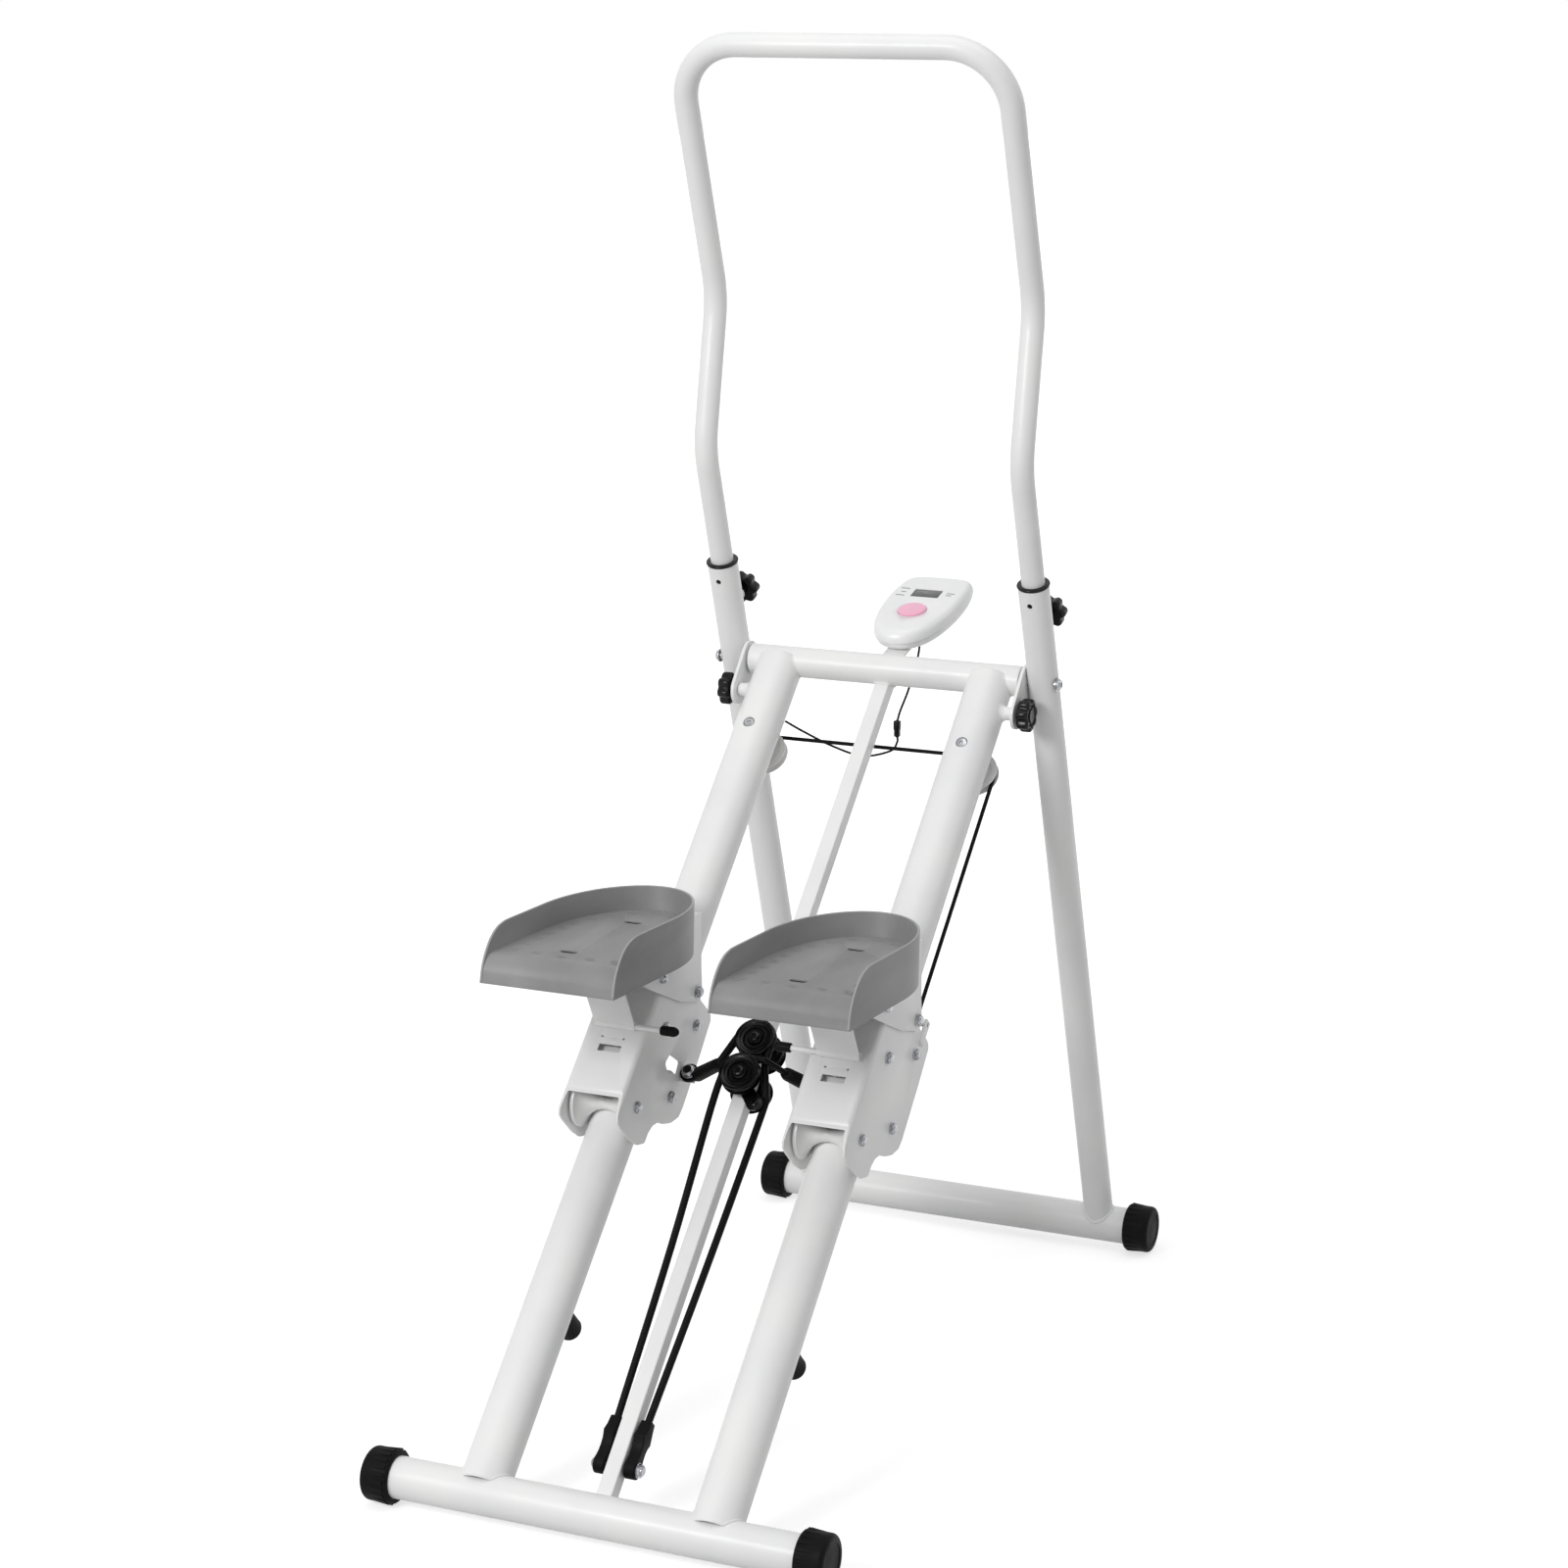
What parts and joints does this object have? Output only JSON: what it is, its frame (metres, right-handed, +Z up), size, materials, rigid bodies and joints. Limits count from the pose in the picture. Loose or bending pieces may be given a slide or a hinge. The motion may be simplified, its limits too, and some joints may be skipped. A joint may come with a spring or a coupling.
{
  "type": "vertical_climber",
  "caption": "Folding vertical climber: pedals roll up and down inclined rails on a white tube frame with a tall handlebar, a rope link, elastic bands and a small console.",
  "frame": {"origin": "on the floor, midway between the front and rear base tubes", "axes": "+X to the viewer's right, +Y from the user towards the rear base, +Z up"},
  "size_m": [0.586, 1.198, 1.6644],
  "materials": {
    "white_steel": "white powder coat",
    "zinc_steel": "bright zinc plate",
    "black_rubber": "matt black",
    "black_cord": "black",
    "black_plastic": "satin black",
    "white_plastic": "smooth white",
    "white_nylon": "turned nylon",
    "pink_plastic": "smooth pink",
    "dark_window": "clear window over a dark display",
    "grey_plastic": "fine grain"
  },
  "bodies": {
    "front_frame": {"front_base_tube": "white_steel", "front_cap_left": "black_rubber", "front_cap_right": "black_rubber", "rail_left": "white_steel", "rail_right": "white_steel", "cross_tube": "white_steel", "centre_bar": "white_steel", "bumper_left": "black_rubber", "bumper_right": "black_rubber", "console_bracket": "white_steel", "console_base": "white_plastic", "console_cover": "white_plastic", "lcd_window": "dark_window", "pulley_bracket": "black_plastic", "anchor_bolt": "zinc_steel", "guide_bolt_left": "zinc_steel", "guide_bolt_right": "zinc_steel", "console_cable": "black_cord", "cable_connector": "black_plastic", "sensor_cable": "black_cord", "rope_cross": "black_cord", "band_left": "black_rubber", "band_right": "black_rubber", "rope_left": "black_cord", "rope_right": "black_cord"},
    "console_button": {"console_button": "pink_plastic"},
    "band_pulley_lower": {"band_pulley_lower": "black_plastic"},
    "band_pulley_upper": {"band_pulley_upper": "black_plastic"},
    "rear_frame": {"rear_base_tube": "white_steel", "rear_cap_left": "black_rubber", "rear_cap_right": "black_rubber", "upright_left": "white_steel", "upright_right": "white_steel", "pivot_bolt_left": "zinc_steel", "pivot_bolt_right": "zinc_steel", "bushing_left": "black_plastic", "bushing_right": "black_plastic"},
    "handlebar": {"handlebar": "white_steel"},
    "lock_knob_left": {"lock_knob_left": "black_plastic"},
    "clamp_knob_left": {"clamp_knob_left": "black_plastic"},
    "carriage_left": {"carriage_housing_left": "white_steel"},
    "guide_pulley_left": {"guide_pulley_left": "white_nylon"},
    "pedal_left": {"pedal_left": "grey_plastic", "pedal_bracket_left": "white_steel"},
    "latch_lever_left": {"latch_lever_left": "white_steel"},
    "roller_left_front_low": {"roller_left_front_low": "white_nylon"},
    "roller_left_front_high": {"roller_left_front_high": "white_nylon"},
    "roller_left_rear_low": {"roller_left_rear_low": "white_nylon"},
    "roller_left_rear_high": {"roller_left_rear_high": "white_nylon"},
    "lock_knob_right": {"lock_knob_right": "black_plastic"},
    "clamp_knob_right": {"clamp_knob_right": "black_plastic"},
    "carriage_right": {"carriage_housing_right": "white_steel"},
    "guide_pulley_right": {"guide_pulley_right": "white_nylon"},
    "pedal_right": {"pedal_right": "grey_plastic", "pedal_bracket_right": "white_steel"},
    "latch_lever_right": {"latch_lever_right": "white_steel"},
    "roller_right_front_low": {"roller_right_front_low": "white_nylon"},
    "roller_right_front_high": {"roller_right_front_high": "white_nylon"},
    "roller_right_rear_low": {"roller_right_rear_low": "white_nylon"},
    "roller_right_rear_high": {"roller_right_rear_high": "white_nylon"}
  },
  "joints": [
    {"name": "console_button_press", "type": "slide", "parent": "front_frame", "child": "console_button", "axis": [0, 0.2487, -0.9686], "range_m": [0, 0.002], "stiffness_N_per_m": 400, "springref_m": -0.001},
    {"name": "rear_frame_fold", "type": "hinge", "parent": "front_frame", "child": "rear_frame", "pos_m": [0, 0.28715, 0.854], "axis": [-1, 0, 0], "range_deg": [0, 52]},
    {"name": "handlebar_height", "type": "slide", "parent": "rear_frame", "child": "handlebar", "axis": [0, -0.3149, 0.9491], "range_m": [-0.02, 0.03]},
    {"name": "lock_knob_left_turn", "type": "hinge", "parent": "rear_frame", "child": "lock_knob_left", "pos_m": [-0.2, 0.25068, 0.81888], "axis": [-1, 0, 0], "range_deg": [0, 720]},
    {"name": "clamp_knob_left_turn", "type": "hinge", "parent": "rear_frame", "child": "clamp_knob_left", "pos_m": [-0.215, 0.30684, 0.93965], "axis": [0, 0.9491, 0.3149], "range_deg": [0, 720]},
    {"name": "carriage_left_slide", "type": "slide", "parent": "front_frame", "child": "carriage_left", "axis": [0, 0.7203, 0.6936], "range_m": [-0.25, 0.25], "deforming": ["rope_left", "band_right"]},
    {"name": "guide_pulley_left_spin", "type": "hinge", "parent": "front_frame", "child": "guide_pulley_left", "pos_m": [-0.147, 0.23083, 0.74146], "axis": [0, -0.6936, 0.7203], "range_deg": [-560, 560]},
    {"name": "pedal_left_lift", "type": "hinge", "parent": "carriage_left", "child": "pedal_left", "pos_m": [-0.147, -0.06892, 0.50419], "axis": [-1, 0, 0], "range_deg": [0, 15]},
    {"name": "latch_lever_left_pull", "type": "slide", "parent": "pedal_left", "child": "latch_lever_left", "axis": [1, 0, 0], "range_m": [0, 0.008], "stiffness_N_per_m": 300, "springref_m": -0.003},
    {"name": "roller_left_front_low_spin", "type": "hinge", "parent": "carriage_left", "child": "roller_left_front_low", "pos_m": [-0.147, -0.23525, 0.40372], "axis": [1, 0, 0], "range_deg": [-1950, 1950]},
    {"name": "roller_left_front_high_spin", "type": "hinge", "parent": "carriage_left", "child": "roller_left_front_high", "pos_m": [-0.147, -0.15457, 0.48141], "axis": [1, 0, 0], "range_deg": [-1950, 1950]},
    {"name": "roller_left_rear_low_spin", "type": "hinge", "parent": "carriage_left", "child": "roller_left_rear_low", "pos_m": [-0.147, -0.14147, 0.38851], "axis": [1, 0, 0], "range_deg": [-1950, 1950]},
    {"name": "roller_left_rear_high_spin", "type": "hinge", "parent": "carriage_left", "child": "roller_left_rear_high", "pos_m": [-0.147, -0.06728, 0.45996], "axis": [1, 0, 0], "range_deg": [-1950, 1950]},
    {"name": "lock_knob_right_turn", "type": "hinge", "parent": "rear_frame", "child": "lock_knob_right", "pos_m": [0.2, 0.25068, 0.81888], "axis": [1, 0, 0], "range_deg": [0, 720]},
    {"name": "clamp_knob_right_turn", "type": "hinge", "parent": "rear_frame", "child": "clamp_knob_right", "pos_m": [0.215, 0.30684, 0.93965], "axis": [0, 0.9491, 0.3149], "range_deg": [0, 720]},
    {"name": "carriage_right_slide", "type": "slide", "parent": "front_frame", "child": "carriage_right", "axis": [0, 0.7203, 0.6936], "range_m": [-0.25, 0.25], "deforming": ["rope_right", "band_left"]},
    {"name": "guide_pulley_right_spin", "type": "hinge", "parent": "front_frame", "child": "guide_pulley_right", "pos_m": [0.147, 0.23083, 0.74146], "axis": [0, -0.6936, 0.7203], "range_deg": [-560, 560]},
    {"name": "pedal_right_lift", "type": "hinge", "parent": "carriage_right", "child": "pedal_right", "pos_m": [0.147, -0.06892, 0.50419], "axis": [-1, 0, 0], "range_deg": [0, 15]},
    {"name": "latch_lever_right_pull", "type": "slide", "parent": "pedal_right", "child": "latch_lever_right", "axis": [-1, 0, 0], "range_m": [0, 0.008], "stiffness_N_per_m": 300, "springref_m": -0.003},
    {"name": "roller_right_front_low_spin", "type": "hinge", "parent": "carriage_right", "child": "roller_right_front_low", "pos_m": [0.147, -0.23525, 0.40372], "axis": [1, 0, 0], "range_deg": [-1950, 1950]},
    {"name": "roller_right_front_high_spin", "type": "hinge", "parent": "carriage_right", "child": "roller_right_front_high", "pos_m": [0.147, -0.15457, 0.48141], "axis": [1, 0, 0], "range_deg": [-1950, 1950]},
    {"name": "roller_right_rear_low_spin", "type": "hinge", "parent": "carriage_right", "child": "roller_right_rear_low", "pos_m": [0.147, -0.14147, 0.38851], "axis": [1, 0, 0], "range_deg": [-1950, 1950]},
    {"name": "roller_right_rear_high_spin", "type": "hinge", "parent": "carriage_right", "child": "roller_right_rear_high", "pos_m": [0.147, -0.06728, 0.45996], "axis": [1, 0, 0], "range_deg": [-1950, 1950]},
    {"name": "band_pulley_lower_spin", "type": "hinge", "parent": "front_frame", "child": "band_pulley_lower", "pos_m": [0, -0.16848, 0.44107], "axis": [0, -0.6936, 0.7203], "continuous": true},
    {"name": "band_pulley_upper_spin", "type": "hinge", "parent": "front_frame", "child": "band_pulley_upper", "pos_m": [0, -0.12244, 0.47111], "axis": [0, -0.6936, 0.7203], "continuous": true}
  ],
  "couplings": [
    {"joint": "carriage_right_slide", "follows": "carriage_left_slide", "ratio": -1},
    {"joint": "guide_pulley_left_spin", "follows": "carriage_left_slide", "rad_per_m": -38.462},
    {"joint": "roller_left_front_low_spin", "follows": "carriage_left_slide", "rad_per_m": -133.33},
    {"joint": "roller_left_front_high_spin", "follows": "carriage_left_slide", "rad_per_m": -133.33},
    {"joint": "roller_left_rear_low_spin", "follows": "carriage_left_slide", "rad_per_m": 133.33},
    {"joint": "roller_left_rear_high_spin", "follows": "carriage_left_slide", "rad_per_m": 133.33},
    {"joint": "guide_pulley_right_spin", "follows": "carriage_left_slide", "rad_per_m": -38.462},
    {"joint": "roller_right_front_low_spin", "follows": "carriage_left_slide", "rad_per_m": 133.33},
    {"joint": "roller_right_front_high_spin", "follows": "carriage_left_slide", "rad_per_m": 133.33},
    {"joint": "roller_right_rear_low_spin", "follows": "carriage_left_slide", "rad_per_m": -133.33},
    {"joint": "roller_right_rear_high_spin", "follows": "carriage_left_slide", "rad_per_m": -133.33}
  ]
}
